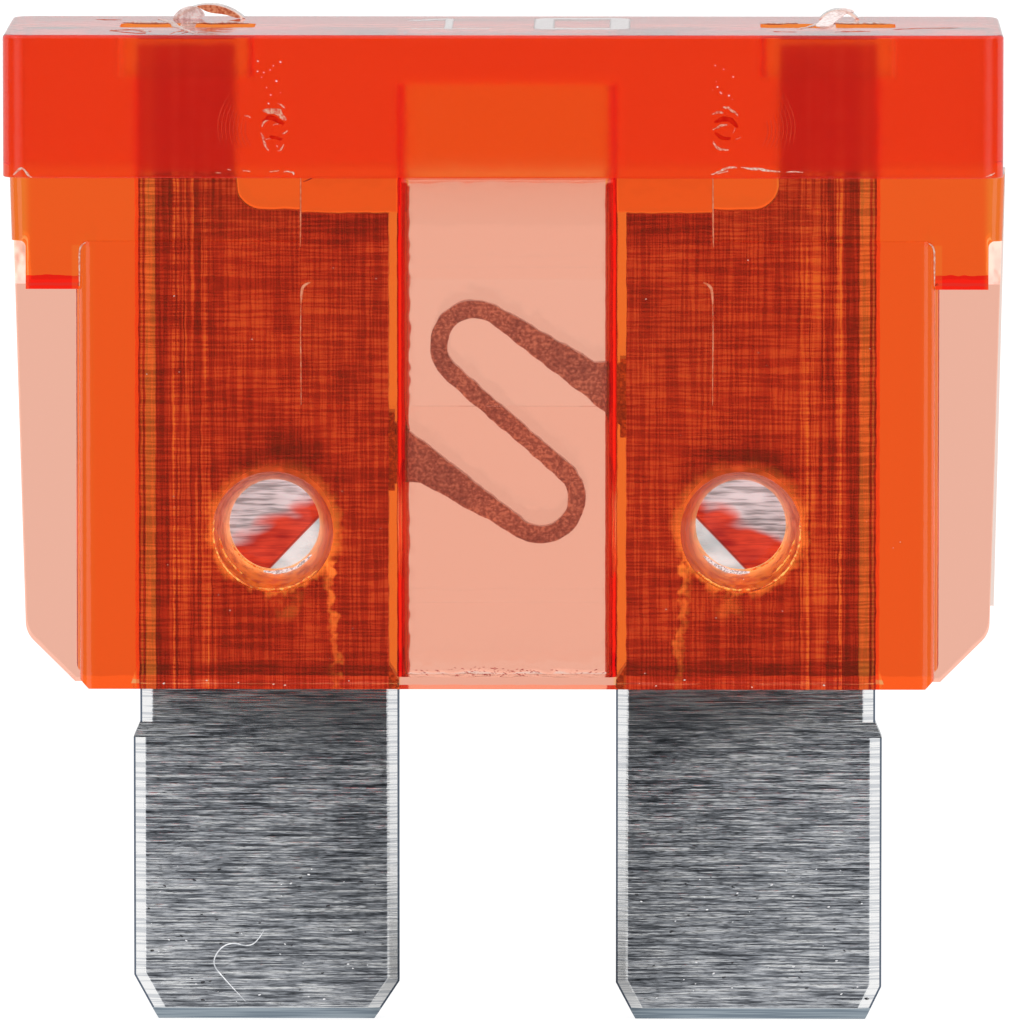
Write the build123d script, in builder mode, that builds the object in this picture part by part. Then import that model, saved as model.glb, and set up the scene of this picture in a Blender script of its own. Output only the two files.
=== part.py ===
from build123d import *
import math
import os

# Plug-in blade fuse: a see-through moulded housing over one stamped fuse element.
# Millimetres. The blade tips stand at z = 0, the front faces -Y and the blades lie in the XZ plane.

# Stamped element
metal_thickness = 0.65
blade_span = 14.47
blade_width = 5.14
blade_length = 6.61
shank_relief = 0.13
shoulder_drop = 0.81
shoulder_height = 0.3
terminal_gap = 4.58
terminal_height = 9.15
flare_start = 0.06
flare_height = 0.31
tab_width = 1.88
tab_height = 3.24
tab_corner = 0.5
edge_bevel_width = 0.25
edge_bevel_depth = 0.08
tip_bevel_height = 0.24
tip_bevel_depth = 0.16
left_tip_corners = ((0.49, 0.74), (0.47, 0.86))
right_tip_corners = ((0.38, 0.72), (0.31, 0.64))

# Melting link between the terminals, an S that is the same turned half round
link_thickness = 0.3
link_width = 0.33
link_height = 5.02
link_turn_radius = 0.7
link_turn_offset = (-0.635, 1.483)
link_root_top = 1.16
link_root_bottom = -0.12
link_root_reach = 1.68
link_outer_lean = 29.5
link_inner_lean = 40.0
root_step = 0.12

# Stakes that pin the element in the housing
stake_spacing = 9.0
stake_height = 3.04
stake_hole_radius = 0.86
stake_rim_radius = 1.165
stake_rim_angle = 23.0
dimple_radius = 0.75
dimple_depth = 0.1

# Moulded housing
head_width = 19.15
head_depth = 5.1
head_height = 2.74
head_corner = 0.4
head_edge = 0.08
head_low_edge = 0.03
head_mismatch = 0.07
body_depth = 3.6
body_height = 8.64
body_edge = 0.25
body_corner = 0.17
foot_corner = 0.175
neck_step = 0.15
neck_height = 2.21
neck_edge = 0.25
neck_notch = 0.25
neck_notch_round = 0.12
wing_inset = 0.025
wing_reach = 1.355
wing_thickness = 1.0
wing_draft = 1.6
wing_corner_width = 0.92
wing_corner_height = 0.94
wing_corner_round = 0.5
wing_root = 0.1
under_head = 9.92
ramp_width = 7.9
ramp_height = 1.4
ramp_rise = 0.12
panel_width = 7.86
panel_height = 2.45
panel_top = 2.0
panel_depth = 0.06
panel_corner = 0.2

# Spaces inside the housing
chamber_width = 4.236
chamber_depth = 2.4
chamber_corner = 0.23
chamber_roof = 1.02
chamber_step_drop = 0.09
chamber_taper = 0.05
chamber_taper_height = 0.94
chamber_top_depth = 1.2
lip_reach = 0.6
lip_height = 0.19
witness_line = 0.03
witness_heights = (8.13, 1.65)
slot_clearance = 0.035
slot_side_clearance = 0.065
slot_mouth = 0.09
slot_mouth_height = 0.25
probe_slot_width = 2.6
probe_slot_depth = 1.1
probe_slot_sink = 0.9
probe_slot_corner = 0.15

# Flash that the mould left
seam_flash = 0.08
seam_flash_thickness = 0.3
curl_thickness = 0.06
curl_root = 0.1
left_curl = (-6.6, -5.0, 0.29)
right_curl = (5.95, 6.85, 0.2)
curl_depth = 0.5
curl_back = 0.45
bridge_width = 0.3
bridge_thickness = 0.12

# Places that follow from the sizes
body_width = head_width - 2 * wing_reach
base_z = blade_length
head_z = base_z + under_head
top_z = head_z + head_height
neck_z = head_z - neck_height
body_top_z = base_z + body_height
chamber_step_z = head_z - chamber_step_drop
chamber_taper_z = chamber_step_z - chamber_taper_height
link_z = base_z + link_height
stake_z = base_z + stake_height
half_metal = metal_thickness / 2
half_slot = half_metal + slot_clearance
blade_outer = blade_span / 2
blade_inner = blade_outer - blade_width
shank_outer = blade_outer - shank_relief
terminal_inner = terminal_gap / 2
terminal_top_z = base_z + terminal_height
tab_top_z = terminal_top_z + tab_height
tab_inner = shank_outer - tab_width
shoulder_z = base_z - shoulder_drop
slot_outer = shank_outer + slot_side_clearance
slot_top_z = terminal_top_z + slot_clearance
tab_slot_inner = tab_inner - slot_clearance
wing_top = head_width / 2 - wing_inset
wing_slope = math.tan(math.radians(wing_draft))
neck_front = body_depth / 2 - neck_step
front = Plane.XZ.offset(body_depth / 2)
back = Plane((0, body_depth / 2, 0), x_dir=(-1, 0, 0), z_dir=(0, 1, 0))

# Two places closer than this are the same one
near = 0.01


def wing_edge(z):
    """Half the width over the wings at a height, which narrows downwards by the draft."""
    return wing_top - (head_z - z) * wing_slope


def blade_outline(tip_corners):
    """Blade, terminal and tab of the right side, as points in X and Z."""
    (inner_x, inner_z), (outer_x, outer_z) = tip_corners
    return [
        (blade_inner + inner_x, 0),
        (blade_outer - outer_x, 0),
        (blade_outer, outer_z),
        (blade_outer, shoulder_z - shoulder_height),
        (shank_outer, shoulder_z),
        (shank_outer, tab_top_z),
        (tab_inner, tab_top_z),
        (tab_inner, terminal_top_z),
        (terminal_inner, terminal_top_z),
        (terminal_inner, base_z + flare_start + flare_height),
        (blade_inner, base_z + flare_start),
        (blade_inner, inner_z),
    ]


def edge_bevels(start, end, turn, beyond=0):
    """Cuts the bevels off both faces of the strip, along an edge between two points in X and Z.

    turn is 1 where the strip lies to the left of the edge, and beyond is how far the cut overruns it.
    """
    foot = Vector(start[0], 0, start[1])
    along = (Vector(end[0], 0, end[1]) - foot).normalized()
    length = (Vector(end[0], 0, end[1]) - foot).length
    inward = Vector(-turn * along.Z, 0, turn * along.X)
    for face in (-1, 1):
        with BuildSketch(Plane(foot - along * beyond, x_dir=inward, z_dir=along)) as corner:
            with BuildLine():
                Polyline(
                    (0, face * (half_metal - edge_bevel_depth)),
                    (0, face * half_metal),
                    (edge_bevel_width, face * half_metal),
                    close=True,
                )
            make_face()
        extrude(corner.sketch, amount=length + 2 * beyond, mode=Mode.SUBTRACT)


def tip_bevels(side):
    """Cuts the lead-in on both faces of a blade's tip."""
    for face in (-1, 1):
        with BuildSketch(Plane.YZ.offset(side * blade_inner)) as lead_in:
            with BuildLine():
                Polyline(
                    (face * (half_metal - tip_bevel_depth), 0),
                    (face * half_metal, 0),
                    (face * half_metal, tip_bevel_height),
                    close=True,
                )
            make_face()
        extrude(lead_in.sketch, amount=side * blade_width, mode=Mode.SUBTRACT)


def link_half(turn):
    """One run of the link's outline, from the right root round the upper turn to the left root.

    turn is 1 for that run and -1 for the same run turned half round.
    """

    def at(x, z):
        return (turn * x, link_z + turn * z)

    def around(radius, degrees):
        centre_x, centre_z = link_turn_offset
        angle = math.radians(degrees)
        return at(centre_x + radius * math.cos(angle), centre_z + radius * math.sin(angle))

    def around_other(radius, degrees):
        centre_x, centre_z = link_turn_offset
        angle = math.radians(degrees)
        return at(-centre_x + radius * math.cos(angle), -centre_z + radius * math.sin(angle))

    outer = link_turn_radius + link_width / 2
    inner = link_turn_radius - link_width / 2
    reach = math.hypot(*link_turn_offset)
    bearing = math.degrees(math.atan2(link_turn_offset[1], link_turn_offset[0]))
    strand = bearing + math.degrees(math.asin(link_turn_radius / reach))
    leave = 90 - link_outer_lean
    arrive = 90 + strand
    middle = (leave + arrive) / 2
    other_leave = strand - 90
    other_arrive = -90 - link_inner_lean
    other_middle = (other_leave + other_arrive) / 2
    Line(at(terminal_inner + link_width, link_root_top), at(link_root_reach, link_root_top))
    Line(at(link_root_reach, link_root_top), around(outer, leave))
    ThreePointArc(around(outer, leave), around(outer, middle), around(outer, arrive))
    Line(around(outer, arrive), around_other(inner, other_leave))
    ThreePointArc(
        around_other(inner, other_leave),
        around_other(inner, other_middle),
        around_other(inner, other_arrive),
    )
    Line(around_other(inner, other_arrive), at(-terminal_inner, -link_root_bottom))
    Line(
        at(-terminal_inner, -link_root_bottom),
        at(-terminal_inner - link_width, -link_root_bottom),
    )
    Line(
        at(-terminal_inner - link_width, -link_root_bottom),
        at(-terminal_inner - link_width, -link_root_top),
    )


def ribbon(start_x, end_x, rise, back_y):
    """A thin curl of flash that arches over the head's top."""
    middle_x = (start_x + end_x) / 2
    foot_z = top_z - curl_root
    with BuildSketch(Plane.XZ.offset(-back_y)) as arch:
        with BuildLine():
            Line((start_x, foot_z), (start_x + curl_thickness, foot_z))
            ThreePointArc(
                (start_x + curl_thickness, foot_z),
                (middle_x, top_z + rise - curl_thickness),
                (end_x - curl_thickness, foot_z),
            )
            Line((end_x - curl_thickness, foot_z), (end_x, foot_z))
            ThreePointArc((end_x, foot_z), (middle_x, top_z + rise), (start_x, foot_z))
        make_face()
    extrude(arch.sketch, amount=curl_depth)


# The element: two blades with their terminals and tabs, and the thin link between them
with BuildPart() as fuse_element:
    for side, tip_corners in ((-1, left_tip_corners), (1, right_tip_corners)):
        with BuildSketch(Plane.XZ):
            with BuildLine():
                Polyline(*[(side * x, z) for x, z in blade_outline(tip_corners)], close=True)
            make_face()
            inside_corner = [v for v in vertices() if abs(abs(v.X) - tab_inner) < near
                             and abs(v.Y - terminal_top_z) < near]
            fillet(inside_corner, radius=tab_corner)
        extrude(amount=half_metal, both=True)
        outer = side * blade_outer
        inner = side * blade_inner
        shank = side * shank_outer
        (inner_x, inner_z), (outer_x, outer_z) = tip_corners
        edge_bevels((outer, 0), (outer, shoulder_z - shoulder_height), side)
        edge_bevels((outer - side * outer_x, 0), (outer, outer_z), side, edge_bevel_width)
        edge_bevels((inner, 0), (inner, base_z), -side)
        edge_bevels((inner + side * inner_x, 0), (inner, inner_z), -side, edge_bevel_width)
        edge_bevels((shank, shoulder_z), (shank, tab_top_z), side)
        tip_bevels(side)
    with BuildSketch(Plane.XZ):
        for turn in (-1, 1):
            with Locations((turn * terminal_inner, link_z + turn * (link_root_top + link_root_bottom) / 2)):
                Rectangle(2 * root_step, link_root_top - link_root_bottom + 2 * root_step)
    extrude(amount=half_metal, both=True)
    with BuildSketch(Plane.XZ):
        with BuildLine():
            link_half(1)
            link_half(-1)
        make_face()
    extrude(amount=link_thickness / 2, both=True)
    dish_radius = (dimple_radius**2 + dimple_depth**2) / (2 * dimple_depth)
    dish_centre = half_metal - dimple_depth + dish_radius
    with Locations(*[(side * stake_spacing / 2, face * dish_centre, stake_z)
                     for side in (-1, 1) for face in (-1, 1)]):
        Sphere(dish_radius, mode=Mode.SUBTRACT)
fuse_element.part.label = "fuse_element"

# The head, which a hand or a puller grips
with BuildPart() as head:
    with BuildSketch(Plane.XY.offset(head_z)):
        with Locations((-head_mismatch, 0)):
            RectangleRounded(head_width, head_depth, head_corner)
    extrude(amount=head_height)
    fillet(head.faces().sort_by(Axis.Z)[-1].edges(), radius=head_edge)
    fillet(head.faces().sort_by(Axis.Z)[0].edges(), radius=head_low_edge)

# The housing: body, neck, wings and head in one moulding, open below
with BuildPart() as housing:
    with BuildSketch(Plane.XZ):
        with Locations((0, base_z + body_height / 2)):
            Rectangle(body_width, body_height)
        fillet(vertices().group_by(Axis.Y)[-1], radius=body_corner)
        chamfer(vertices().group_by(Axis.Y)[0], length=foot_corner)
    extrude(amount=body_depth / 2, both=True)
    with BuildSketch(Plane.XY.offset(base_z)):
        RectangleRounded(body_width, body_depth, body_edge)
    extrude(amount=body_height, mode=Mode.INTERSECT)

    low_edge = wing_edge(base_z)
    with BuildSketch(Plane.XZ):
        with BuildLine():
            Polyline(
                (-wing_top, head_z),
                (-wing_edge(base_z + wing_corner_height), base_z + wing_corner_height),
                (-low_edge + wing_corner_width, base_z),
                (low_edge - wing_corner_width, base_z),
                (wing_edge(base_z + wing_corner_height), base_z + wing_corner_height),
                (wing_top, head_z),
                close=True,
            )
        make_face()
        fillet(vertices().filter_by(lambda v: base_z + near < v.Y < neck_z), radius=wing_corner_round)
    extrude(amount=wing_thickness / 2, both=True)

    # The neck is set back from the body at the front and flush with it at the back
    for z in (neck_z, head_z):
        with BuildSketch(Plane.XY.offset(z)):
            with Locations((0, neck_step / 2)):
                RectangleRounded(2 * wing_edge(z), body_depth - neck_step, neck_edge)
    loft()
    root_edges = [edge for edge in housing.edges().filter_by(Axis.Z)
                  if abs(abs(edge.center().X) - body_width / 2) < near
                  and abs(abs(edge.center().Y) - wing_thickness / 2) < near]
    fillet(root_edges, radius=wing_root)
    add(head.part)

    # The neck's lower corners are cut back to the wings
    neck_low_edge = wing_edge(neck_z) - neck_notch
    for face in (-1, 1):
        for side in (-1, 1):
            with BuildSketch(Plane.XZ.offset(face * wing_thickness / 2)):
                with BuildLine():
                    Polyline(
                        (side * neck_low_edge, neck_z),
                        (side * neck_low_edge, body_top_z),
                        (side * wing_top, body_top_z),
                        (side * wing_top, neck_z),
                        close=True,
                    )
                make_face()
                notch_corner = vertices().group_by(Axis.Y)[-1].sort_by(lambda v: abs(v.X))[0]
                fillet(notch_corner, radius=neck_notch_round)
            extrude(amount=face * body_depth / 2, mode=Mode.SUBTRACT)

    # A ramp on the front swells into the head
    with BuildSketch(Plane.YZ):
        with BuildLine():
            foot = (-body_depth / 2, head_z - ramp_height)
            peak = (-body_depth / 2 - ramp_rise, head_z)
            TangentArc(foot, peak, tangent=(0, 1))
            Polyline(peak, (-neck_front, head_z), (-neck_front, head_z - ramp_height), foot)
        make_face()
    extrude(amount=ramp_width / 2, both=True)
    with BuildSketch(front):
        with Locations((0, head_z - panel_top - panel_height / 2)):
            RectangleRounded(panel_width, panel_height, panel_corner)
    extrude(amount=-panel_depth, mode=Mode.SUBTRACT)

    # Melting chamber, which narrows in the head, with a lip at its mouth and the element's slot across it
    with BuildSketch(Plane.XY.offset(base_z)):
        RectangleRounded(chamber_width, chamber_depth, chamber_corner)
    extrude(amount=chamber_taper_z - base_z, mode=Mode.SUBTRACT)
    for z, depth in ((chamber_taper_z, chamber_depth), (chamber_step_z, chamber_depth - 2 * chamber_taper)):
        with BuildSketch(Plane.XY.offset(z)):
            RectangleRounded(chamber_width, depth, chamber_corner)
    loft(mode=Mode.SUBTRACT)
    with BuildSketch(Plane.XY.offset(chamber_step_z)):
        RectangleRounded(chamber_width, chamber_top_depth, chamber_corner)
    extrude(amount=top_z - chamber_roof - chamber_step_z, mode=Mode.SUBTRACT)
    with Locations((0, lip_reach / 2 - chamber_depth / 2 - chamber_corner / 2, base_z + lip_height / 2)):
        Box(chamber_width + chamber_corner, lip_reach + chamber_corner, lip_height)
    for height in witness_heights:
        with Locations((0, 0, base_z + height)):
            Box(
                chamber_width - 2 * chamber_corner,
                chamber_depth + 2 * witness_line,
                witness_line,
                mode=Mode.SUBTRACT,
            )
    with BuildSketch(Plane.XZ):
        with BuildLine():
            Polyline(
                (-slot_outer - slot_mouth, base_z),
                (slot_outer + slot_mouth, base_z),
                (slot_outer, base_z + slot_mouth_height),
                (slot_outer, top_z),
                (tab_slot_inner, top_z),
                (tab_slot_inner, slot_top_z),
                (-tab_slot_inner, slot_top_z),
                (-tab_slot_inner, top_z),
                (-slot_outer, top_z),
                (-slot_outer, base_z + slot_mouth_height),
                close=True,
            )
        make_face()
        tab_slot_corners = [v for v in vertices() if abs(abs(v.X) - tab_slot_inner) < near
                            and abs(v.Y - slot_top_z) < near]
        fillet(tab_slot_corners, radius=tab_corner - slot_clearance)
    extrude(amount=half_slot, both=True, mode=Mode.SUBTRACT)

    # Probe slots over the tabs
    with BuildSketch(Plane.XY.offset(top_z)):
        for side in (-1, 1):
            with Locations((side * (shank_outer - tab_width / 2), 0)):
                RectangleRounded(probe_slot_width, probe_slot_depth, probe_slot_corner)
    extrude(amount=-probe_slot_sink, mode=Mode.SUBTRACT)

    # Stake holes, which widen outwards on both faces
    for plane in (front, back):
        with Locations(plane):
            with Locations((-stake_spacing / 2, stake_z), (stake_spacing / 2, stake_z)):
                CounterSinkHole(
                    radius=stake_hole_radius,
                    counter_sink_radius=stake_rim_radius,
                    depth=body_depth / 2,
                    counter_sink_angle=stake_rim_angle,
                )

    # Flash: the seam down the right wing and the curls at the probe slots
    with BuildSketch(Plane.XZ):
        with BuildLine():
            seam_low_z = base_z + wing_corner_height + wing_corner_round
            Polyline(
                (wing_edge(seam_low_z) - wing_root, seam_low_z),
                (wing_edge(seam_low_z) + seam_flash, seam_low_z),
                (wing_edge(head_z) + seam_flash / 2, head_z),
                (wing_edge(head_z) - wing_root, head_z),
                close=True,
            )
        make_face()
    extrude(amount=seam_flash_thickness / 2, both=True)
    for start_x, end_x, rise in (left_curl, right_curl):
        ribbon(start_x, end_x, rise, head_depth / 2 - curl_back)
    for side in (-1, 1):
        with Locations((side * (shank_outer - tab_width / 2), 0, top_z - bridge_thickness / 2)):
            Box(bridge_width, probe_slot_depth + bridge_width, bridge_thickness)
housing.part.label = "housing"

os.makedirs("parts", exist_ok=True)
export_step(fuse_element.part, "parts/fuse_element.step")
export_step(housing.part, "parts/housing.step")
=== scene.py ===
import math

import bmesh
import bpy
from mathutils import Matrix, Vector, noise


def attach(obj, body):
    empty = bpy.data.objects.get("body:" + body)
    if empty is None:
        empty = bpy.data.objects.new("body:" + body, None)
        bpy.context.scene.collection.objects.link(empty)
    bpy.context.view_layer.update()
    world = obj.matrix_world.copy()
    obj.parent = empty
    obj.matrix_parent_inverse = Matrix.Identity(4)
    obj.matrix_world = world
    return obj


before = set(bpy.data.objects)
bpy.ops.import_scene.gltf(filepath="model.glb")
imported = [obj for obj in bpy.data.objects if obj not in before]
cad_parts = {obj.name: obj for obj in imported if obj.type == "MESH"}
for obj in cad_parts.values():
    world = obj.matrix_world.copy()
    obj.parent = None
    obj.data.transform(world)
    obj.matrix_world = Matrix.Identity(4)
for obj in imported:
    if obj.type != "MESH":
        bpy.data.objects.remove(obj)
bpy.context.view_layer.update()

# A plug-in blade fuse: a see-through red-orange moulding over a stamped zinc element.
# Sizes are in metres, named in millimetres times MM.

MM = 0.001

# The camera stands before the fuse, a little above it and a little to the right
PHOTO_WIDTH = 1009
SENSOR = 36.0
FOCAL_PX = 15522.9
CAMERA_PLACE = Vector((3.06, -298.34, 41.208)) * MM
CAMERA_AIM = Vector((-0.0635, 0.0, 9.8505)) * MM

# Places on the fuse in millimetres, which the finish and the small pieces follow
HEAD_TOP = 19.27
HEAD_LOW = 16.53
HEAD_FRONT = -2.55
BODY_FRONT = -1.8
NECK_LOW = 14.32
HEM_TOP = 14.6
BASE = 6.61
CHAMBER_TOP = 16.44
CHAMBER_SIDE = 2.118
STAKE_SIDE = 4.5
STAKE_HEIGHT = 9.65
MARK_SIDE = 4.45
MARK_HEIGHT = 17.48


class Value:
    """A socket that takes part in sums, so that a pattern reads as one expression."""

    def __init__(self, board, socket):
        self.board = board
        self.socket = socket

    def sum(self, operation, *others):
        inputs = dict(enumerate((self, *others)))
        return self.board.node("Math", {"operation": operation}, inputs)

    def __add__(self, other):
        return self.sum("ADD", other)

    def __radd__(self, other):
        return self.sum("ADD", other)

    def __sub__(self, other):
        return self.sum("SUBTRACT", other)

    def __rsub__(self, other):
        return self.board.node("Math", {"operation": "SUBTRACT"}, {0: other, 1: self})

    def __mul__(self, other):
        return self.sum("MULTIPLY", other)

    def __rmul__(self, other):
        return self.sum("MULTIPLY", other)

    def __truediv__(self, other):
        return self.sum("DIVIDE", other)

    def __abs__(self):
        return self.sum("ABSOLUTE")

    def __gt__(self, other):
        return self.sum("GREATER_THAN", other)

    def __lt__(self, other):
        return self.sum("LESS_THAN", other)

    def within(self, low, high):
        """1 between low and high, and 0 outside them."""
        return self.sum("COMPARE", (low + high) / 2, (high - low) / 2)

    def smooth(self, zero, one):
        """0 up to one value and 1 from the other, on either side of it, with a soft change between them."""
        settings = {"interpolation_type": "SMOOTHSTEP"}
        return self.board.node("MapRange", settings, {"Value": self, "From Min": zero, "From Max": one})


class Board:
    """The nodes of one material, or of the world."""

    def __init__(self, owner):
        owner.use_nodes = True
        self.tree = owner.node_tree
        self.tree.nodes.clear()

    def node(self, kind, settings=None, inputs=None, out=0):
        made = self.tree.nodes.new("ShaderNode" + kind)
        for name, value in (settings or {}).items():
            if name == "stops":
                self.set_stops(made.color_ramp, value)
            else:
                setattr(made, name, value)
        for name, value in (inputs or {}).items():
            if isinstance(value, Value):
                self.tree.links.new(value.socket, made.inputs[name])
            else:
                made.inputs[name].default_value = value
        if not made.outputs:
            return made
        return Value(self, made.outputs[out])

    @staticmethod
    def set_stops(ramp, stops):
        while len(ramp.elements) > 1:
            ramp.elements.remove(ramp.elements[-1])
        for index, (place, colour) in enumerate(stops):
            element = ramp.elements[0] if index == 0 else ramp.elements.new(place)
            element.position = place
            element.color = colour

    def coordinates(self, scale=(1, 1, 1), move=(0, 0, 0), turn=None):
        """Object coordinates in millimetres, stretched and moved for a pattern, and turned where it leans."""
        place = self.node("TexCoord", out="Object")
        sizes = tuple(part / MM for part in scale)
        if turn is None:
            return self.node("VectorMath", {"operation": "MULTIPLY_ADD"}, {0: place, 1: sizes, 2: move})
        inputs = {"Vector": place, "Scale": sizes, "Location": move, "Rotation": turn}
        return self.node("Mapping", inputs=inputs)

    def noise(self, scale=(1, 1, 1), detail=3.0, roughness=0.55, move=(0, 0, 0), turn=None):
        place = self.coordinates(scale, move, turn)
        inputs = {"Vector": place, "Scale": 1.0, "Detail": detail, "Roughness": roughness}
        return self.node("TexNoise", inputs=inputs)

    def axes(self):
        """X, Y and Z of a point in millimetres."""
        place = self.coordinates()
        return [self.node("SeparateXYZ", inputs={0: place}, out=axis) for axis in range(3)]

    def blend(self, factor, first, second):
        """A colour between two others."""
        inputs = {0: factor, 6: first, 7: second}
        return self.node("Mix", {"data_type": "RGBA"}, inputs, out=2)

    def bump(self, height, distance, strength=1.0, normal=None):
        inputs = {"Height": height, "Distance": distance, "Strength": strength}
        if normal is not None:
            inputs["Normal"] = normal
        return self.node("Bump", inputs=inputs)

    def finish(self, surface, volume=None):
        inputs = {"Surface": surface}
        if volume is not None:
            inputs["Volume"] = volume
        self.node("OutputMaterial", inputs=inputs)


def from_stake(board):
    """A point's place beside and above the nearer stake, and its distance from it, in millimetres."""
    x, y, z = board.axes()
    beside = abs(x) - STAKE_SIDE
    above = z - STAKE_HEIGHT
    return beside, above, (beside * beside + above * above).sum("SQRT")


def near_line(value, middle, half_width):
    """1 where a value is at the middle of a line, and 0 from half its width away."""
    return abs(value - middle).smooth(half_width, half_width * 0.4)


def clear_red_plastic():
    """See-through red-orange moulding: pink where it is thin, orange in the body and red in the head."""
    material = bpy.data.materials.new("clear_red_plastic")
    material.cycles.emission_sampling = "NONE"
    board = Board(material)
    x, y, z = board.axes()
    side = abs(x)
    deep = abs(y)
    rough = board.noise((5, 5, 3), detail=1.0, roughness=0.7)
    patchy = rough.smooth(0.35, 0.62)
    outer_face = deep > 1.35
    in_head = z > HEAD_LOW + 0.015
    head_face = in_head * outer_face * (z < HEAD_TOP - 0.06)
    body_face = outer_face * (1 - in_head)
    colour = (1.0, 0.985, 0.97, 1.0)
    beside_chamber = side.smooth(CHAMBER_SIDE - 0.1, CHAMBER_SIDE)
    colour = board.blend(body_face * beside_chamber, colour, (1.0, 0.985, 0.25, 1.0))
    colour = board.blend(head_face, colour, (1.0, 0.86, 0.1, 1.0))

    # Painted shade: a deeper red in the chamber's round corners, along the slot's ends and at the neck's
    # lower edge, standing in for light bent through the plastic there
    corner_shade = side.within(1.915, 2.225) * deep.within(0.92, 1.28) * (z < CHAMBER_TOP - 0.05)
    hem_shade = (z + rough * 0.08).within(NECK_LOW - 0.02, HEM_TOP + 0.03) * (side > 8.22) * (y < -1.55)
    slot_end_shade = side.within(7.1, 7.17) * (deep < 0.39)
    colour = board.blend(hem_shade, colour, (0.88, 0.01, 0.01, 1.0))
    colour = board.blend(corner_shade, colour, (0.46, 0.006, 0.001, 1.0))
    colour = board.blend(slot_end_shade, colour, (1.0, 0.3, 0.2, 1.0))

    # Painted light: an emission stands in for the light gathered in the funnels of the stake holes, at the
    # outer edges and on the rough notches
    beside, above, reach = from_stake(board)
    funnel = reach.within(0.855, 1.175) * (deep < 1.78)
    inward = (above * 0.5 - beside).smooth(0.1, 0.8)
    painted_glow = board.blend(above.smooth(0.667, -1.167), (0.26, 0.1, 0.06, 1.0), (0.5, 0.12, 0.008, 1.0))
    painted_glow = board.blend(inward * 0.6, painted_glow, (0.16, 0.015, 0.0, 1.0))
    painted_glow = board.blend(funnel * (0.1 + patchy * 0.6), (0.0, 0.0, 0.0, 1.0), painted_glow)
    body_edge = side.smooth(7.9, 8.1) * (side < 8.35) * (z < 15.17)
    edge_light = body_face * (side.smooth(9.12, 9.3) * 0.8 + body_edge * 0.35)
    painted_glow = board.blend(edge_light, painted_glow, (0.0, 0.085, 0.012, 1.0))
    notch = (side > 9.2) * deep.within(0.495, 0.515) * z.within(NECK_LOW, 15.25)
    painted_glow = board.blend(notch * patchy, painted_glow, (0.42, 0.26, 0.25, 1.0))

    frosted = in_head * (deep > 2.45)
    skin = board.noise((4, 4, 4), detail=0.0)
    normal = board.bump(skin, 0.01 * MM, 0.5)
    plastic = board.node("BsdfPrincipled", inputs={
        "Base Color": colour,
        "Roughness": 0.06 + frosted * 0.2 + funnel * 0.4,
        "IOR": 1.58,
        "Transmission Weight": 1.0,
        "Emission Color": painted_glow,
        "Emission Strength": 1.0,
        "Normal": normal,
    })
    absorbed_per_metre = 1100.0
    inside = board.node("VolumeAbsorption", inputs={
        "Color": (1.0, 0.455, 0.225, 1.0),
        "Density": absorbed_per_metre,
    })
    board.finish(plastic, inside)
    return material


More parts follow.
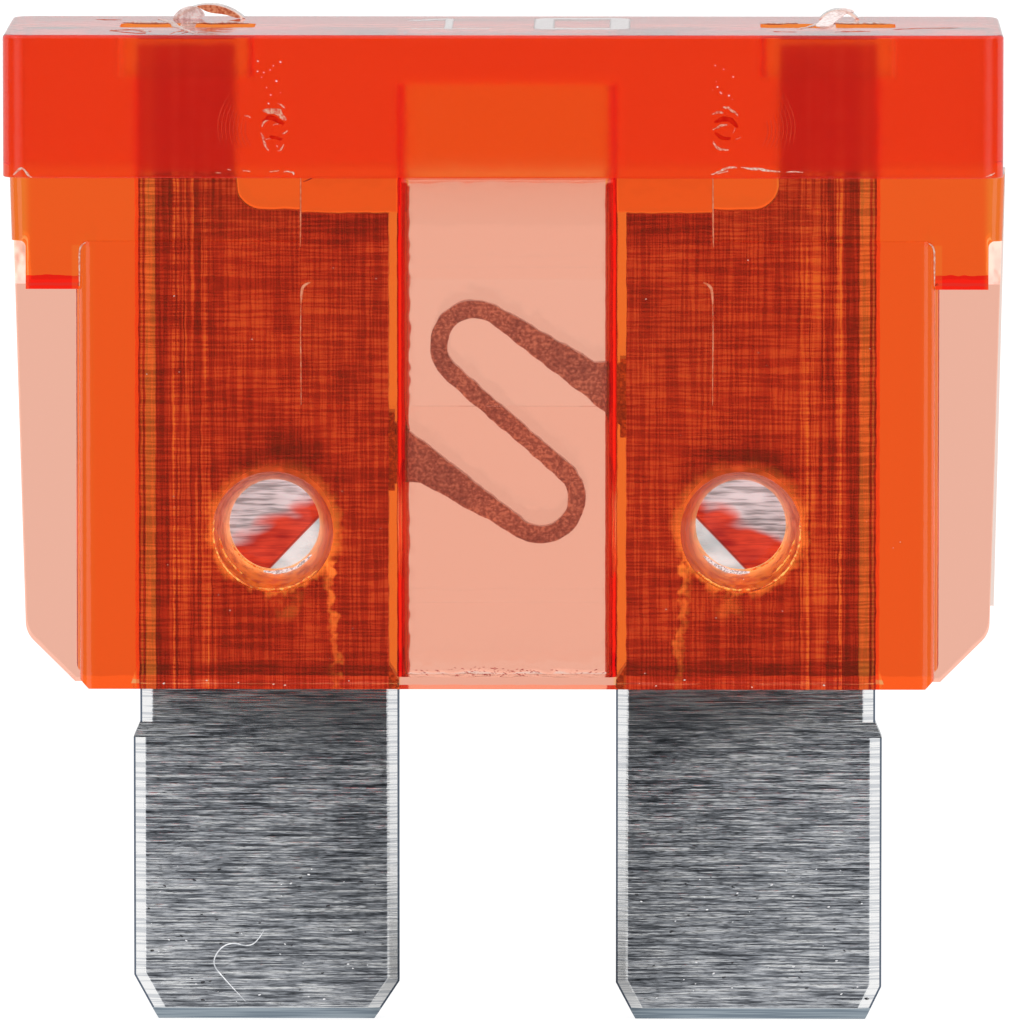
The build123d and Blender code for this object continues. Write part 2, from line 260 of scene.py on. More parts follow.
def housed_metal(board, mottle):
    """Colour of the element inside the housing, with its tool marks and ribs, and painted light and shade on
    it.
    """
    x, y, z = board.axes()
    side = abs(x)
    upright = board.noise((24, 24, 0.45), detail=1.0, roughness=0.6, move=(11, 2, 5)).smooth(0.38, 0.62)
    fine = board.noise((0.7, 0.7, 20), detail=1.0, roughness=0.6, move=(8, 1, 3)).smooth(0.38, 0.62)
    ribs = board.noise((16, 16, 0.1), detail=1.0, roughness=0.6, move=(4, 9, 2)).smooth(0.42, 0.58)
    beside, above, reach = from_stake(board)
    weave = (fine + upright) * 0.2 + mottle * 0.1 - 0.25
    outer_dark = (side > 6.46) * (0.7 + mottle * 0.5)
    # Painted highlights along the ribs
    rib_highlight = side.within(6.395, 6.441) + (side.within(6.32, 6.36) + side.within(5.757, 5.813)) * 0.8
    foot_dark = z.smooth(7.1, 6.95) * (z > 6.77) * (0.4 + mottle * 0.8)
    pad_dark = side.within(2.28, 3.9) * (z > 15.12)
    # Painted shade: a darker arc above each stake hole
    shade_over_stake = reach.smooth(2.1, 1.3) * reach.smooth(1.15, 1.35) * above.smooth(0.6, 1.3)
    # The grain and tool marks, with the painted highlights and painted shade, set the colour on a ramp from
    # dark red up to a white highlight
    grain_and_painted_sheen = 0.38 + weave + side.within(5.625, 6.525) * (ribs - 0.45) * 0.3 + rib_highlight * (0.2 + fine * 0.15)
    grain_and_painted_sheen = grain_and_painted_sheen - outer_dark * 0.14 - foot_dark * 0.24 - pad_dark * 0.1 - shade_over_stake * 0.18
    warm = board.node("ValToRGB", {"stops": [
        (0.0, (0.14, 0.01, 0.03, 1.0)),
        (0.2, (0.3, 0.03, 0.07, 1.0)),
        (0.4, (0.5, 0.11, 0.22, 1.0)),
        (0.6, (0.72, 0.4, 0.6, 1.0)),
        (0.85, (0.95, 1.0, 1.0, 1.0)),
    ]}, {0: grain_and_painted_sheen - z.smooth(9.4, 7.2) * 0.05})
    in_head = z > HEAD_LOW
    warm = board.blend(in_head * 0.9, warm, (0.66, 0.07, 0.06, 1.0))

    # The thin link between the terminals looks paler than they do
    link = side < 2.29
    grainy = board.noise((14, 14, 16), detail=1.0, roughness=0.7, move=(6, 2, 4)).smooth(0.3, 0.7)
    paler = board.node("ValToRGB", {"stops": [
        (0.1, (0.22, 0.065, 0.05, 1.0)),
        (0.5, (0.36, 0.125, 0.09, 1.0)),
        (0.9, (0.62, 0.28, 0.19, 1.0)),
    ]}, {0: grainy * 0.65 + fine * 0.15 + mottle * 0.2})
    warm = board.blend(link, warm, paler)

    # Painted light: an emission stands in for the light gathered round the stake holes, in streaks and
    # patches under them, along the outer bevel and at the foot
    light_patchiness = board.noise((3, 3, 3), detail=2.0, roughness=0.7).smooth(0.35, 0.65)
    halo = ((reach - 1.16) / (light_patchiness * 0.16 + 0.14)).smooth(1.0, 0.0)
    halo = halo * (0.46 - above * 0.3).sum("MAXIMUM", 0.08)
    fall = above.smooth(-0.75, -2.95)
    streak = near_line(beside + (fall + light_patchiness) * 0.14, -0.99, 0.12)
    streak = streak * above.smooth(-0.5, -0.75) * (0.9 - fall * 0.45)
    patch = near_line(beside + above * 0.3, -0.72, 0.35) * near_line(above, -1.5, 0.4)
    bevel = side.within(6.78, 6.975) + side.within(7.025, 7.065) * 0.7
    lit = halo * 0.9 + (streak * 0.6 + patch * 0.15) * (0.1 + light_patchiness * 0.9) + bevel * (0.6 + fine * 0.4) * 0.32
    lit = lit.sum("MINIMUM", 1.0) * (1 - link) * (1 - in_head * 0.85)
    painted_glow = board.blend(lit, (0.0, 0.0, 0.0, 1.0), (0.75, 0.5, 0.2, 1.0))
    foot_strip = (z < 6.76) * (1 - link) * 0.1
    painted_glow = board.blend(foot_strip, painted_glow, (0.7, 0.07, 0.04, 1.0))
    return warm, painted_glow


def bare_metal(board, across, cross_grain, mottle):
    """Colour of the blades below the housing: fine lines, a little lighter close under it, with pale bevels
    that carry a painted highlight.
    """
    x, y, z = board.axes()
    deep = abs(y)
    lines = across * 0.6 + cross_grain * 0.3 + mottle * 0.1
    colour = board.node("ValToRGB", {"stops": [
        (0.0, (0.05, 0.055, 0.065, 1.0)),
        (0.3, (0.2, 0.215, 0.24, 1.0)),
        (0.62, (0.5, 0.52, 0.56, 1.0)),
        (0.92, (0.86, 0.87, 0.88, 1.0)),
    ]}, {0: lines + z.smooth(4.6, 6.2) * 0.12})
    # Painted highlight: the bevels are near white, and the narrow edge faces between them are darker
    shine = board.blend(cross_grain.smooth(0.0, 0.5), (0.7, 0.72, 0.75, 1.0), (1.0, 1.0, 1.0, 1.0))
    shine = board.blend(deep < 0.257, shine, (0.12, 0.15, 0.2, 1.0))
    colour = board.blend(deep < 0.319, colour, shine)
    tip_metal = board.blend(cross_grain, (0.2, 0.25, 0.3, 1.0), (0.34, 0.4, 0.45, 1.0))
    return board.blend(z < 0.225, colour, tip_metal)


def dimple_metal(board):
    """Colour of the dimple under a stake: silver with brushed lines outside and above, a painted reflection
    of the red wall inside and below, and a pale painted reflection in a crescent low on the inner side.
    """
    beside, above, reach = from_stake(board)
    lean = (0, math.radians(12), 0)
    lines = board.noise((1.2, 1.2, 16), detail=2.0, roughness=0.65, turn=lean).smooth(0.35, 0.62)
    shade = board.noise((1.5, 1.5, 3), detail=1.0, roughness=0.6, move=(5, 5, 5)).smooth(0.3, 0.7)
    silver = board.blend(lines * 0.7 + shade * 0.3, (0.2, 0.18, 0.19, 1.0), (0.7, 0.66, 0.69, 1.0))
    # Painted reflections: red where the dish mirrors the hole's wall, and pale in the crescent
    red_reflection = (0.12 - beside * 0.45 - above + (shade - 0.5) * 0.25).smooth(-0.16, 0.24)
    red = board.blend(shade * 0.6 + lines * 0.4, (0.3, 0.004, 0.002, 1.0), (0.66, 0.05, 0.015, 1.0))
    colour = board.blend(red_reflection, silver, red)
    across_crescent = beside * -0.776 - above * 0.631 + (beside * 0.631 - above * 0.776) * 0.08
    crescent = across_crescent.smooth(0.52, 0.56)
    outline = near_line(across_crescent, 0.515, 0.03) * 0.4
    colour = board.blend(crescent, colour, board.blend(shade, (0.42, 0.5, 0.52, 1.0), (0.7, 0.76, 0.77, 1.0)))
    return board.blend(outline, colour, (0.12, 0.02, 0.01, 1.0))


def bare_zinc():
    """Rolled and stamped zinc: streaks across it, tool marks up the terminals, staked dimples."""
    material = bpy.data.materials.new("bare_zinc")
    material.cycles.emission_sampling = "NONE"
    board = Board(material)
    x, y, z = board.axes()
    rolled = board.noise((1.6, 1.6, 34), detail=2.0, roughness=0.6)
    across = rolled.smooth(0.32, 0.68)
    cross_grain = board.noise((0.5, 0.5, 30), detail=1.0, roughness=0.5, move=(3, 7, 1)).smooth(0.4, 0.6)
    mottle = board.noise((1.6, 1.6, 1.6), detail=1.0).smooth(0.35, 0.65)
    housed = z > BASE
    dimple = (from_stake(board)[2] < 0.87) * housed
    warm, painted_glow = housed_metal(board, mottle)
    silver_and_red = dimple_metal(board)
    colour = board.blend(housed, bare_metal(board, across, cross_grain, mottle), warm)
    colour = board.blend(dimple, colour, silver_and_red)
    painted_glow = board.blend(housed, (0.0, 0.0, 0.0, 1.0), painted_glow)
    # Painted light: the dimples also glow faintly in their own colours
    painted_glow = board.blend(dimple, painted_glow, board.blend(0.4, (0.0, 0.0, 0.0, 1.0), silver_and_red))
    calm_near_housing = 1 - z.smooth(4.2, 6.4) * (1 - housed) * 0.6
    relief = (0.1 + abs(y).smooth(0.3, 0.322) * 0.9) * calm_near_housing * 0.7
    metal = board.node("BsdfPrincipled", inputs={
        "Base Color": colour,
        "Metallic": 1 - dimple,
        "Roughness": 0.2 + housed * 0.12,
        "Emission Color": painted_glow,
        "Emission Strength": 1.5,
        "Normal": board.bump(rolled, 0.04 * MM, relief),
    })
    board.finish(metal)
    return material


def seen_as(board, plain, through, mirrored, mirrored_inside):
    """How bright a surface round the fuse is: plain, through the plastic, mirrored, or mirrored in it."""
    glossy = board.node("LightPath", out="Glossy Depth") > 0.5
    refracted = board.node("LightPath", out="Transmission Depth") > 0.5
    clear = plain * (1 - refracted) + through * refracted
    bright = mirrored * (1 - refracted) + mirrored_inside * refracted
    return clear * (1 - glossy) + bright * glossy


def pale_floor():
    """White floor, darker before the fuse as its reflections see it."""
    material = bpy.data.materials.new("pale_floor")
    material.cycles.emission_sampling = "NONE"
    board = Board(material)
    x, y, z = board.axes()
    spread = abs(x) + y * 0.35
    beside = spread.smooth(0.5, 4) * (1 - (spread + y * 0.8).smooth(9, 16))
    mirrored = 0.12 + y.smooth(-8, 8) * 0.75 + beside * 0.8 * (1 - y.smooth(-8, 8))
    direct = board.node("LightPath", out="Is Camera Ray")
    light = board.node("Emission", inputs={"Strength": seen_as(board, 0.85, 0.87, mirrored, 1.1)})
    chalk = board.node("BsdfDiffuse", inputs={"Color": (0.35, 0.35, 0.35, 1.0)})
    shaded = board.node("AddShader", inputs={0: light, 1: chalk})
    board.finish(board.node("MixShader", inputs={0: direct, 1: light, 2: shaded}))
    return material


def studio_world():
    """Even white all round, with a dark side behind the camera for the metal to mirror."""
    world = bpy.data.worlds.new("studio")
    world.cycles.sampling_method = "NONE"
    bpy.context.scene.world = world
    board = Board(world)
    direction = board.node("TexCoord", out="Generated")
    x = board.node("SeparateXYZ", inputs={0: direction}, out=0)
    y = board.node("SeparateXYZ", inputs={0: direction}, out=1)
    z = board.node("SeparateXYZ", inputs={0: direction}, out=2)
    away = y.smooth(-0.2, 0.1)
    overhead = z.smooth(0.2, 0.6)
    beside = abs(x).smooth(0.25, 0.5) * (1 - abs(x).smooth(0.75, 0.85))
    mirrored = 0.12 + away * 0.85 + (overhead * 0.85 + beside * 0.85) * (1 - away)
    light = board.node("Background", inputs={"Strength": seen_as(board, 1.0, 1.04, mirrored, 1.3)})
    board.node("OutputWorld", inputs={"Surface": light})


def gloss(name, dull, bright, roughness=0.15, grain=9, own_light=0.0, specular=0.5):
    """Finish of a small raised mark: two near colours mixed by a fine grain, and a painted glow of its own
    colour as strong as own_light.
    """
    material = bpy.data.materials.new(name)
    board = Board(material)
    speckle = board.noise((grain, grain, grain), detail=2.0, roughness=0.6).smooth(0.35, 0.65)
    colour = board.blend(speckle, dull, bright)
    material.cycles.emission_sampling = "NONE"
    surface = board.node("BsdfPrincipled", inputs={
        "Base Color": colour,
        "Roughness": roughness,
        "Specular IOR Level": specular,
        "Emission Color": colour,
        "Emission Strength": own_light,
        "Normal": board.bump(speckle, 0.01 * MM, 0.5),
    })
    board.finish(surface)
    return material


def fasten(piece, material):
    """Gives a finished mesh its material, and fastens it to the fuse."""
    piece.data.materials.clear()
    piece.data.materials.append(material)
    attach(piece, "root")


def flattened(mesh, axis, plane, share):
    """Presses a mesh towards a plane that it lies on."""
    for vertex in mesh.vertices:
        vertex.co[axis] = plane * MM + (vertex.co[axis] - plane * MM) * share


def roughened(mesh, amount, grain):
    """Shakes a mesh's points by up to an amount, in lumps of a given size, both in millimetres."""
    for vertex in mesh.vertices:
        vertex.co += noise.noise_vector(vertex.co / (grain * MM)) * amount * MM


def strokes(name, paths, radius, material, flat=None, closed=False, ragged=0.0):
    """Round strokes that taper at their ends, each along a smooth path given in millimetres."""
    curve = bpy.data.curves.new(name, "CURVE")
    curve.dimensions = "3D"
    curve.bevel_depth = radius * MM
    curve.bevel_resolution = 2
    curve.resolution_u = 5
    curve.use_fill_caps = not closed
    for path in paths:
        spline = curve.splines.new("NURBS")
        spline.points.add(len(path) - 1)
        for index, (point, place) in enumerate(zip(spline.points, path)):
            point.co = (*(Vector(place) * MM), 1)
            at_end = index in (0, len(path) - 1) and not closed
            point.radius = 0.4 if at_end else 1.0
        spline.order_u = min(3, len(path))
        spline.use_endpoint_u = not closed
        spline.use_cyclic_u = closed
    drawn = bpy.data.objects.new(name + "_path", curve)
    bpy.context.collection.objects.link(drawn)
    evaluated = drawn.evaluated_get(bpy.context.evaluated_depsgraph_get())
    mesh = bpy.data.meshes.new_from_object(evaluated)
    bpy.data.objects.remove(drawn)
    roughened(mesh, radius * ragged, radius * 2.5)
    if flat:
        flattened(mesh, *flat)
    piece = bpy.data.objects.new(name, mesh)
    bpy.context.collection.objects.link(piece)
    fasten(piece, material)
    return piece


def on_head(*points):
    """Points of the head's front face from their X and Z."""
    return [(x, HEAD_FRONT, z) for x, z in points]


def on_body(*points):
    """Points of the body's front face from their X and Z."""
    return [(x, BODY_FRONT, z) for x, z in points]


def on_top(*points):
    """Points of the head's top from their X and Y."""
    return [(x, y, HEAD_TOP) for x, y in points]


def other_side(paths):
    """The same paths on the other side of the fuse."""
    return [[(-x, y, z) for x, y, z in path] for path in paths]


def gate_marks():
    """The two round marks of the mould's pins on the head, each a ragged raised ring painted pale pink as a
    highlight, with a deep red floor painted as shade.
    """
    raised = gloss("raised_pink_highlight", (0.85, 0.08, 0.03, 1.0), (1.0, 0.5, 0.34, 1.0), 0.4, 24)
    floor_shade = gloss("pin_mark_painted_shade", (0.7, 0.008, 0.002, 1.0), (0.82, 0.02, 0.004, 1.0), 0.8, specular=0.05)
    press = (1, HEAD_FRONT, 0.3)
    strokes("pin_mark_floors", [
        on_head((-4.67, 17.62), (-4.56, 17.70), (-4.43, 17.68), (-4.25, 17.56)),
        on_head((-4.52, 17.34), (-4.40, 17.31), (-4.30, 17.28)),
        on_head((3.96, 17.62), (4.12, 17.68), (4.30, 17.66), (4.42, 17.52)),
        on_head((3.98, 17.40), (4.12, 17.28), (4.28, 17.30)),
    ], 0.05, floor_shade, press, ragged=0.5)
    strokes("pin_mark_caps", [
        on_head((-4.65, 17.80), (-4.50, 17.84), (-4.38, 17.81), (-4.27, 17.72), (-4.24, 17.63)),
    ], 0.05, raised, press, ragged=0.9)
    strokes("pin_mark_rings", [
        on_head((-4.36, 17.97), (-4.27, 17.92), (-4.24, 17.87)),
        on_head((-4.68, 17.51), (-4.65, 17.58), (-4.60, 17.63), (-4.51, 17.68)),
        on_head((-4.46, 17.55), (-4.36, 17.57)),
        on_head((-4.28, 17.38), (-4.23, 17.41), (-4.18, 17.44)),
        on_head((-4.70, 17.41), (-4.66, 17.33), (-4.63, 17.21), (-4.60, 17.12), (-4.54, 17.06)),
        on_head((-4.60, 17.28), (-4.51, 17.29)),
        on_head((-4.40, 17.17), (-4.38, 17.12)),
        on_head((-4.38, 17.06), (-4.29, 17.07), (-4.26, 17.17)),
        on_head((-5.00, 17.75), (-4.96, 17.72), (-4.90, 17.70)),
        on_head((4.14, 17.89), (4.21, 17.90), (4.29, 17.85), (4.38, 17.79), (4.43, 17.73)),
        on_head((3.93, 17.77), (3.99, 17.79), (4.07, 17.82), (4.15, 17.78)),
        on_head((3.94, 17.47), (4.02, 17.49), (4.11, 17.56), (4.22, 17.56)),
        on_head((4.36, 17.50), (4.34, 17.40)),
        on_head((3.95, 17.26), (3.97, 17.17), (4.06, 17.10), (4.16, 17.08), (4.26, 17.09)),
        on_head((4.38, 17.28), (4.50, 17.33)),
    ], 0.022, raised, press, ragged=1.1)


def mould_ripples():
    """Faint round ripples of the mould beside the pin marks."""
    faint = gloss("ripple_red", (0.72, 0.035, 0.01, 1.0), (0.82, 0.06, 0.02, 1.0), 0.5, specular=0.15)
    ripples = []
    for turn in range(8):
        radius = 0.55 + 0.075 * turn
        angles = [math.radians(angle + turn * 3) for angle in (-38, -24, -10, 4, 18)]
        points = [(MARK_SIDE + radius * math.cos(angle), MARK_HEIGHT + radius * math.sin(angle))
                  for angle in angles]
        ripples.append(on_head(*points))
    strokes("mould_ripples", [*ripples, *other_side(ripples)], 0.009, faint, (1, HEAD_FRONT, 0.3), ragged=0.6)


def edge_glints():
    """Raised lines of flash along the head's lower edge, at its corners, and round panel and ramp, painted
    pale and rose as highlights.
    """
    bright = gloss("raised_pale_highlight", (0.9, 0.25, 0.15, 1.0), (1.0, 0.72, 0.6, 1.0), 0.3, 20)
    press = (1, HEAD_FRONT, 0.4)
    strokes("head_edge_flash", [
        on_head((-5.56, 16.64), (-5.47, 16.64)),
        on_head((-5.33, 16.71), (-5.27, 16.68)),
        on_head((-5.03, 16.68), (-4.90, 16.66)),
        on_head((-4.53, 16.66), (-4.34, 16.67)),
        on_head((-4.26, 16.66), (-4.05, 16.66), (-4.07, 16.60)),
        on_head((3.92, 16.61), (4.04, 16.65), (4.16, 16.71), (4.30, 16.76), (4.41, 16.74)),
        on_head((4.04, 16.62), (4.23, 16.67)),
        on_head((4.48, 16.75), (4.65, 16.71), (4.84, 16.72), (5.01, 16.68), (5.23, 16.66)),
        on_head((5.36, 16.66), (5.50, 16.67), (5.67, 16.65)),
        on_head((-9.44, 16.58), (-9.35, 16.68), (-9.27, 16.73), (-9.20, 16.67), (-9.14, 16.58),
                (-9.08, 16.54)),
        on_head((9.17, 16.57), (9.25, 16.60), (9.34, 16.64)),
    ], 0.022, bright, press, ragged=0.8)
    panel_side = 3.95
    ramp_side = [(-panel_side, -1.92, 16.5), (-panel_side, -1.84, 15.9), (-panel_side - 0.01, -1.81, 15.15)]
    panel_hook = on_body((-3.77, 14.47), (-3.90, 14.42), (-3.94, 14.28), (-3.95, 14.05))
    body_hook = on_body((-8.08, 15.23), (-8.17, 15.18), (-8.2, 15.05), (-8.2, 14.75), (-8.2, 14.4))
    soft = gloss("raised_rose_highlight", (0.8, 0.16, 0.06, 1.0), (0.95, 0.36, 0.2, 1.0), 0.4, specular=0.3)
    strokes("ramp_edge_flash", [ramp_side, *other_side([ramp_side])], 0.022, soft)
    strokes("panel_corner_flash", [panel_hook, *other_side([panel_hook])], 0.03, soft, (1, BODY_FRONT, 0.4))
    panel_line = on_body((-3.95, 14.05), (-3.96, 13.5), (-3.95, 12.8), (-3.95, 12.1))
    strokes("panel_edge_flash", [panel_line, *other_side([panel_line])], 0.012, soft, (1, BODY_FRONT, 0.4))
    strokes("body_corner_flash", [body_hook, *other_side([body_hook])], 0.018, bright)
    dark = gloss("hairline_red", (0.3, 0.005, 0.004, 1.0), (0.5, 0.012, 0.008, 1.0), 0.3)
    strokes("neck_hairline", [
        [(-3.90, -1.9, 16.41), (-3.79, -1.91, 16.45), (-3.71, -1.92, 16.5), (-3.59, -1.92, 16.51),
         (-3.44, -1.92, 16.49)],
    ], 0.012, dark)


def stake_glints():
    """Painted highlights on the walls of the stake holes, glowing of their own: yellow lines low on the
    outside, and silver on the inside.
    """
    amber = gloss("funnel_amber", (0.7, 0.08, 0.01, 1.0), (0.9, 0.45, 0.1, 1.0), 0.3, 14, 0.5)
    silver = gloss("funnel_silver", (0.3, 0.26, 0.26, 1.0), (0.75, 0.72, 0.72, 1.0), 0.2, 24, 0.8)

    def arc(radius, depth, first, last, count=7):
        """Part of a circle round the left stake, whose angles start at +X and rise towards +Z."""
        angles = [math.radians(first + (last - first) * step / (count - 1)) for step in range(count)]
        return [(radius * math.cos(angle) - STAKE_SIDE, -depth, radius * math.sin(angle) + STAKE_HEIGHT)
                for angle in angles]

    amber_arcs = [
        arc(1.15, 1.78, 168, 250),
        arc(1.13, 1.7, 255, 318),
        arc(0.9, 0.5, 205, 258),
        arc(1.05, 1.3, 190, 235),
    ]
    silver_arcs = [arc(0.93, 0.6, 258, 322)]
    strokes("stake_amber_light", [*amber_arcs, *other_side(amber_arcs)], 0.02, amber, ragged=0.8)
    strokes("stake_silver_light", [*silver_arcs, *other_side(silver_arcs)], 0.06, silver, ragged=0.5)


def rating_number():
    """A plain number printed on the head's top."""
    # The ink carries a faint painted glow
    ink = gloss("pale_ink", (0.74, 0.7, 0.7, 1.0), (0.86, 0.82, 0.82, 1.0), 0.4, 20, 0.12)
    press = (2, HEAD_TOP, 0.05)
    strokes("printed_one", [
        on_top((-1.92, 1.25), (-1.45, 1.55), (-1.14, 1.8)),
        on_top((-1.14, 1.8), (-1.14, -0.8)),
        on_top((-1.85, -0.84), (-0.35, -0.84)),
    ], 0.2, ink, press)
    left, right, low, high, bend = 0.7, 2.16, -0.84, 1.8, 0.25
    ring = on_top((left, low + bend), (left, high - bend), (left, high), (left + bend, high),
                  (right - bend, high), (right, high), (right, high - bend), (right, low + bend),
                  (right, low), (right - bend, low), (left + bend, low), (left, low))
    strokes("printed_zero", [ring], 0.2, ink, press, closed=True)


def slot_flash():
    """Torn films and threads of plastic round the probe slots in the head's top."""
    shred = gloss("torn_film", (0.8, 0.4, 0.3, 1.0), (1.0, 0.85, 0.8, 1.0), 0.3, 14)
    thread = gloss("torn_thread", (0.7, 0.1, 0.05, 1.0), (0.85, 0.25, 0.12, 1.0), 0.25)
    press = (2, HEAD_TOP, 0.35)
    strokes("slot_films", [
        on_top((-6.78, 1.6), (-6.55, 1.2), (-6.35, -0.6), (-5.95, -2.2)),
        on_top((-7.35, -0.9), (-7.1, -1.15), (-6.85, -1.5)),
        on_top((-7.45, 0.75), (-7.1, 0.62), (-6.7, 0.7), (-6.5, 0.62)),
        on_top((-6.2, 0.7), (-5.8, 0.62), (-5.4, 0.72), (-5.0, 0.66)),
        on_top((5.6, -0.9), (6.0, 0.3), (6.15, 1.5)),
        on_top((6.25, 0.68), (6.6, 0.6), (7.0, 0.72), (7.4, 0.62)),
        on_top((4.9, 0.66), (5.2, 0.75), (5.6, 0.64)),
    ], 0.07, shred, press, ragged=0.8)
    strokes("slot_threads", [
        on_top((-7.6, -1.35), (-7.3, -1.1), (-7.05, -1.2), (-6.88, -2.05), (-7.15, -2.1), (-7.6, -1.35)),
        on_top((-6.45, -2.3), (-6.3, -1.35), (-6.05, -1.35), (-6.2, -2.1)),
        on_top((-8.0, 1.6), (-7.75, 1.4), (-7.5, 1.5)),
        on_top((6.3, -1.6), (6.6, -1.4), (6.95, -1.4)),
        on_top((5.1, -1.5), (5.35, -1.6), (5.55, -1.6)),
        on_top((7.4, -0.95), (7.9, -0.5), (8.7, -0.5)),
    ], 0.035, thread, press, ragged=0.6)


def film(name, first, second, material):
    """A thin torn film of plastic between two paths, given in millimetres with as many points each."""
    mesh = bpy.data.meshes.new(name)
    count = len(first)
    faces = [(step, step + 1, count + step + 1, count + step) for step in range(count - 1)]
    mesh.from_pydata([Vector(place) * MM for place in (*first, *second)], [], faces)
    piece = bpy.data.objects.new(name, mesh)
    bpy.context.collection.objects.link(piece)
    smooth = piece.modifiers.new("smooth", "SUBSURF")
    smooth.levels = smooth.render_levels = 2
    thick = piece.modifiers.new("thick", "SOLIDIFY")
    thick.thickness = 0.02 * MM
    fasten(piece, material)


def curl_films():
    """Films torn up from the probe slots: a pale and an orange one on the left, and a fan on the right."""
    # Both films carry a painted glow of their own colour
    pale = gloss("film_pale", (0.5, 0.38, 0.36, 1.0), (0.7, 0.6, 0.58, 1.0), 0.25, 14, 0.7)
    orange = gloss("film_orange", (0.4, 0.08, 0.03, 1.0), (0.6, 0.25, 0.13, 1.0), 0.25, 16, 0.7)

    def upright(*points):
        return [(x, 1.85, z) for x, z in points]

    film("left_curl_pale_film",
         upright((-6.52, 19.28), (-6.44, 19.40), (-6.32, 19.48), (-6.18, 19.52), (-6.05, 19.51),
                 (-5.95, 19.45)),
         upright((-6.50, 19.26), (-6.40, 19.26), (-6.28, 19.26), (-6.12, 19.26), (-5.97, 19.27),
                 (-5.86, 19.32)),
         pale)
    film("left_curl_orange_film",
         upright((-6.08, 19.53), (-5.88, 19.545), (-5.70, 19.54), (-5.53, 19.50), (-5.36, 19.43),
                 (-5.14, 19.28)),
         upright((-6.00, 19.48), (-5.88, 19.41), (-5.74, 19.37), (-5.57, 19.36), (-5.42, 19.33),
                 (-5.28, 19.27)),
         orange)
    film("right_curl_fan",
         [(5.86, -0.5, 19.28), (6.0, 0.4, 19.29), (6.1, 1.2, 19.36),
          (6.32, 1.75, 19.44), (6.5, 1.9, 19.47), (6.68, 1.9, 19.43)],
         [(6.2, -0.55, 19.28), (6.28, 0.3, 19.29), (6.38, 1.0, 19.32),
          (6.5, 1.5, 19.37), (6.58, 1.75, 19.4), (6.7, 1.85, 19.38)],
         pale)


def blade_scratch():
    """A hair-thin scratch on the left blade, and a torn flake of plastic over the right one."""
    # The scratch is given a faint painted glow
    pale = gloss("scratch_grey", (0.5, 0.52, 0.55, 1.0), (0.95, 0.96, 0.98, 1.0), 0.3, 5, 0.35)
    front = -0.327
    strokes("blade_hair_scratch", [
        [(-5.08, front, 0.35), (-5.5, front, 0.8), (-5.74, front, 1.1), (-5.55, front, 1.42),
         (-5.3, front, 1.5), (-5.05, front, 1.42), (-4.85, front, 1.5), (-4.71, front, 1.75)],
    ], 0.012, pale, (1, front, 0.5))
    flake = gloss("flake_red", (0.55, 0.02, 0.01, 1.0), (0.8, 0.08, 0.04, 1.0), 0.3)
    strokes("slot_mouth_flake", [
        [(3.68, -0.4, 6.6), (3.9, -0.42, 6.57), (4.3, -0.42, 6.575), (4.8, -0.4, 6.6)],
    ], 0.035, flake)


def speck_tree():
    """Geometry Nodes that scatter small oblong specks over the patches of a mesh."""
    tree = bpy.data.node_groups.new("scattered_specks", "GeometryNodeTree")
    tree.interface.new_socket("Patches", in_out="INPUT", socket_type="NodeSocketGeometry")
    for name in ("Per Square Millimetre", "Length", "Width"):
        tree.interface.new_socket(name, in_out="INPUT", socket_type="NodeSocketFloat")
    tree.interface.new_socket("Seed", in_out="INPUT", socket_type="NodeSocketInt")
    tree.interface.new_socket("Material", in_out="INPUT", socket_type="NodeSocketMaterial")
    tree.interface.new_socket("Specks", in_out="OUTPUT", socket_type="NodeSocketGeometry")
    nodes = tree.nodes
    link = tree.links.new
    given = nodes.new("NodeGroupInput")
    result = nodes.new("NodeGroupOutput")

    def maths(operation, first, second):
        node = nodes.new("ShaderNodeMath")
        node.operation = operation
        for socket, value in zip(node.inputs, (first, second)):
            if isinstance(value, (int, float)):
                socket.default_value = value
            else:
                link(value, socket)
        return node.outputs[0]

    scatter = nodes.new("GeometryNodeDistributePointsOnFaces")
    link(given.outputs["Patches"], scatter.inputs["Mesh"])
    link(maths("DIVIDE", given.outputs["Per Square Millimetre"], MM * MM), scatter.inputs["Density"])
    link(given.outputs["Seed"], scatter.inputs["Seed"])
    speck = nodes.new("GeometryNodeMeshIcoSphere")
    speck.inputs["Radius"].default_value = MM / 2
    speck.inputs["Subdivisions"].default_value = 2
    chance = nodes.new("FunctionNodeRandomValue")
    chance.inputs["Min"].default_value = 0.35
    chance.inputs["Max"].default_value = 1.0
    link(given.outputs["Seed"], chance.inputs["Seed"])
    size = nodes.new("ShaderNodeCombineXYZ")
    link(maths("MULTIPLY", chance.outputs["Value"], given.outputs["Length"]), size.inputs["X"])
    link(maths("MULTIPLY", chance.outputs["Value"], given.outputs["Width"]), size.inputs["Y"])
    link(maths("MULTIPLY", chance.outputs["Value"], given.outputs["Width"]), size.inputs["Z"])
    lean = nodes.new("FunctionNodeRandomValue")
    lean.data_type = "FLOAT_VECTOR"
    lean.inputs["Min"].default_value = (0, -0.5, 0)
    lean.inputs["Max"].default_value = (0, 0.5, 0)
    place = nodes.new("GeometryNodeInstanceOnPoints")
    link(scatter.outputs["Points"], place.inputs["Points"])
    link(speck.outputs["Mesh"], place.inputs["Instance"])
    link(size.outputs["Vector"], place.inputs["Scale"])
    link(lean.outputs["Value"], place.inputs["Rotation"])
    real = nodes.new("GeometryNodeRealizeInstances")
    link(place.outputs["Instances"], real.inputs["Geometry"])
    finish = nodes.new("GeometryNodeSetMaterial")
    link(real.outputs["Geometry"], finish.inputs["Geometry"])
    link(given.outputs["Material"], finish.inputs["Material"])
    link(finish.outputs["Geometry"], result.inputs["Specks"])
    return tree


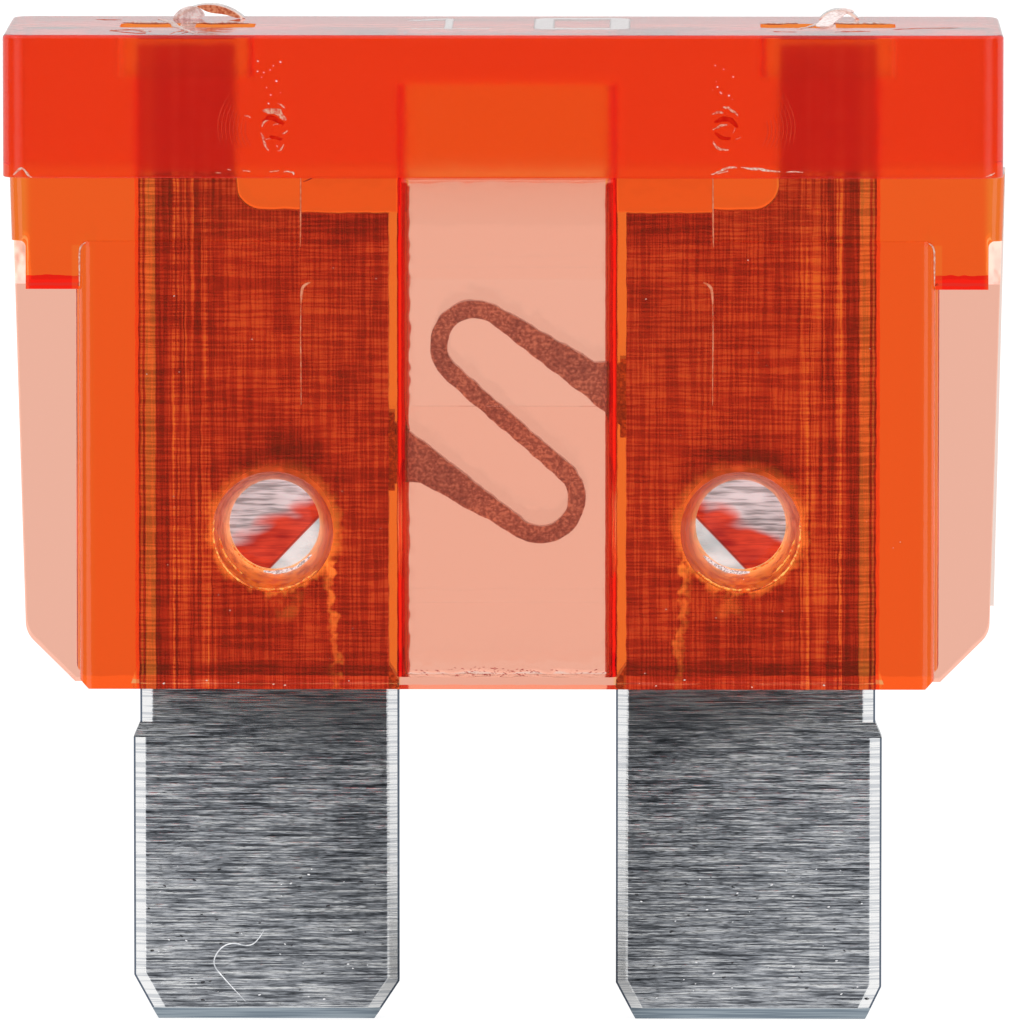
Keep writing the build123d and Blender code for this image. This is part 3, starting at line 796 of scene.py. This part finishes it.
def specks(tree, name, patches, density, length, width, seed, material):
    """Specks scattered over upright patches, each given by its depth, its X range and its Z range."""
    mesh = bpy.data.meshes.new(name)
    shape = bmesh.new()
    for depth, (low_x, high_x), (low_z, high_z) in patches:
        corners = [(low_x, low_z), (high_x, low_z), (high_x, high_z), (low_x, high_z)]
        shape.faces.new([shape.verts.new(Vector((x, depth, z)) * MM) for x, z in corners])
    shape.to_mesh(mesh)
    shape.free()
    patch = bpy.data.objects.new(name + "_patch", mesh)
    bpy.context.collection.objects.link(patch)
    modifier = patch.modifiers.new("specks", "NODES")
    modifier.node_group = tree
    sockets = {item.name: item.identifier for item in tree.interface.items_tree}
    modifier[sockets["Per Square Millimetre"]] = density
    modifier[sockets["Length"]] = length
    modifier[sockets["Width"]] = width
    modifier[sockets["Seed"]] = seed
    modifier[sockets["Material"]] = material
    evaluated = patch.evaluated_get(bpy.context.evaluated_depsgraph_get())
    result = bpy.data.meshes.new_from_object(evaluated)
    patch.modifiers.remove(modifier)
    bpy.data.objects.remove(patch)
    piece = bpy.data.objects.new(name, result)
    bpy.context.collection.objects.link(piece)
    fasten(piece, material)


def scatter_specks():
    """Red specks across the chamber's mouth as painted light, pale specks on the body and foot, blisters on
    the head, and flecks and pits on the blades.
    """
    tree = speck_tree()
    red = gloss("speck_red", (0.5, 0.06, 0.05, 1.0), (0.7, 0.14, 0.11, 1.0), 0.4)
    pale = gloss("speck_pale", (0.95, 0.5, 0.4, 1.0), (1.0, 0.85, 0.8, 1.0), 0.3)
    # The white flecks carry a faint painted glow
    white = gloss("speck_white", (0.7, 0.71, 0.73, 1.0), (0.95, 0.95, 0.96, 1.0), 0.3, own_light=0.3)
    black = gloss("speck_black", (0.01, 0.01, 0.012, 1.0), (0.04, 0.04, 0.05, 1.0), 0.4)
    front = BODY_FRONT - 0.002
    across = (-1.88, 1.88)
    # Painted light: red specks stand in for red light refracted through the rough lip of the chamber's mouth
    specks(tree, "mouth_specks", [(front, across, (6.88, 7.0)), (front, (-1.0, 0.6), (6.85, 7.05))],
           150, 0.07, 0.018, 3, red)
    specks(tree, "body_pale_specks", [(front, (-8.0, -2.3), (6.7, 15.0)), (front, (2.3, 8.0), (6.7, 15.0))],
           0.35, 0.035, 0.025, 5, pale)
    specks(tree, "foot_pale_specks", [(front, (-7.1, -2.3), (6.63, 6.8)), (front, (2.3, 7.1), (6.63, 6.8))],
           6, 0.05, 0.035, 7, pale)
    head = HEAD_FRONT + 0.004
    specks(tree, "head_blisters", [(head, (-4.95, -4.3), (17.95, 18.8)), (head, (3.85, 4.45), (17.95, 18.7))],
           22, 0.045, 0.035, 11, pale)
    blade = -0.33
    blades = [(blade, (-7.0, -2.35), (0.3, 3.0)), (blade, (2.35, 7.0), (0.3, 3.0))]
    specks(tree, "blade_flecks", blades, 2.2, 0.06, 0.03, 13, white)
    specks(tree, "blade_pits", blades, 2.0, 0.09, 0.03, 17, black)


def build_stage():
    mesh = bpy.data.meshes.new("floor")
    reach = 2.0
    corners = [(-reach, -reach, 0), (reach, -reach, 0), (reach, reach, 0), (-reach, reach, 0)]
    mesh.from_pydata(corners, [], [(0, 1, 2, 3)])
    mesh.materials.append(pale_floor())
    floor = bpy.data.objects.new("floor", mesh)
    bpy.context.collection.objects.link(floor)
    studio_world()
    camera_data = bpy.data.cameras.new("camera")
    camera_data.sensor_fit = "HORIZONTAL"
    camera_data.sensor_width = SENSOR
    camera_data.lens = FOCAL_PX * SENSOR / PHOTO_WIDTH
    camera_data.clip_end = 10.0
    camera = bpy.data.objects.new("camera", camera_data)
    camera.location = CAMERA_PLACE
    camera.rotation_euler = (CAMERA_AIM - CAMERA_PLACE).to_track_quat("-Z", "Y").to_euler()
    bpy.context.collection.objects.link(camera)
    bpy.context.scene.camera = camera
    scene = bpy.context.scene
    scene.view_settings.view_transform = "Standard"
    scene.cycles.max_bounces = 10
    scene.cycles.glossy_bounces = 7
    scene.cycles.transmission_bounces = 9


plastic = clear_red_plastic()
zinc = bare_zinc()
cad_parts["housing"].data.materials.clear()
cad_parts["housing"].data.materials.append(plastic)
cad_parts["fuse_element"].data.materials.clear()
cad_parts["fuse_element"].data.materials.append(zinc)
gate_marks()
mould_ripples()
edge_glints()
stake_glints()
rating_number()
slot_flash()
curl_films()
blade_scratch()
scatter_specks()
build_stage()
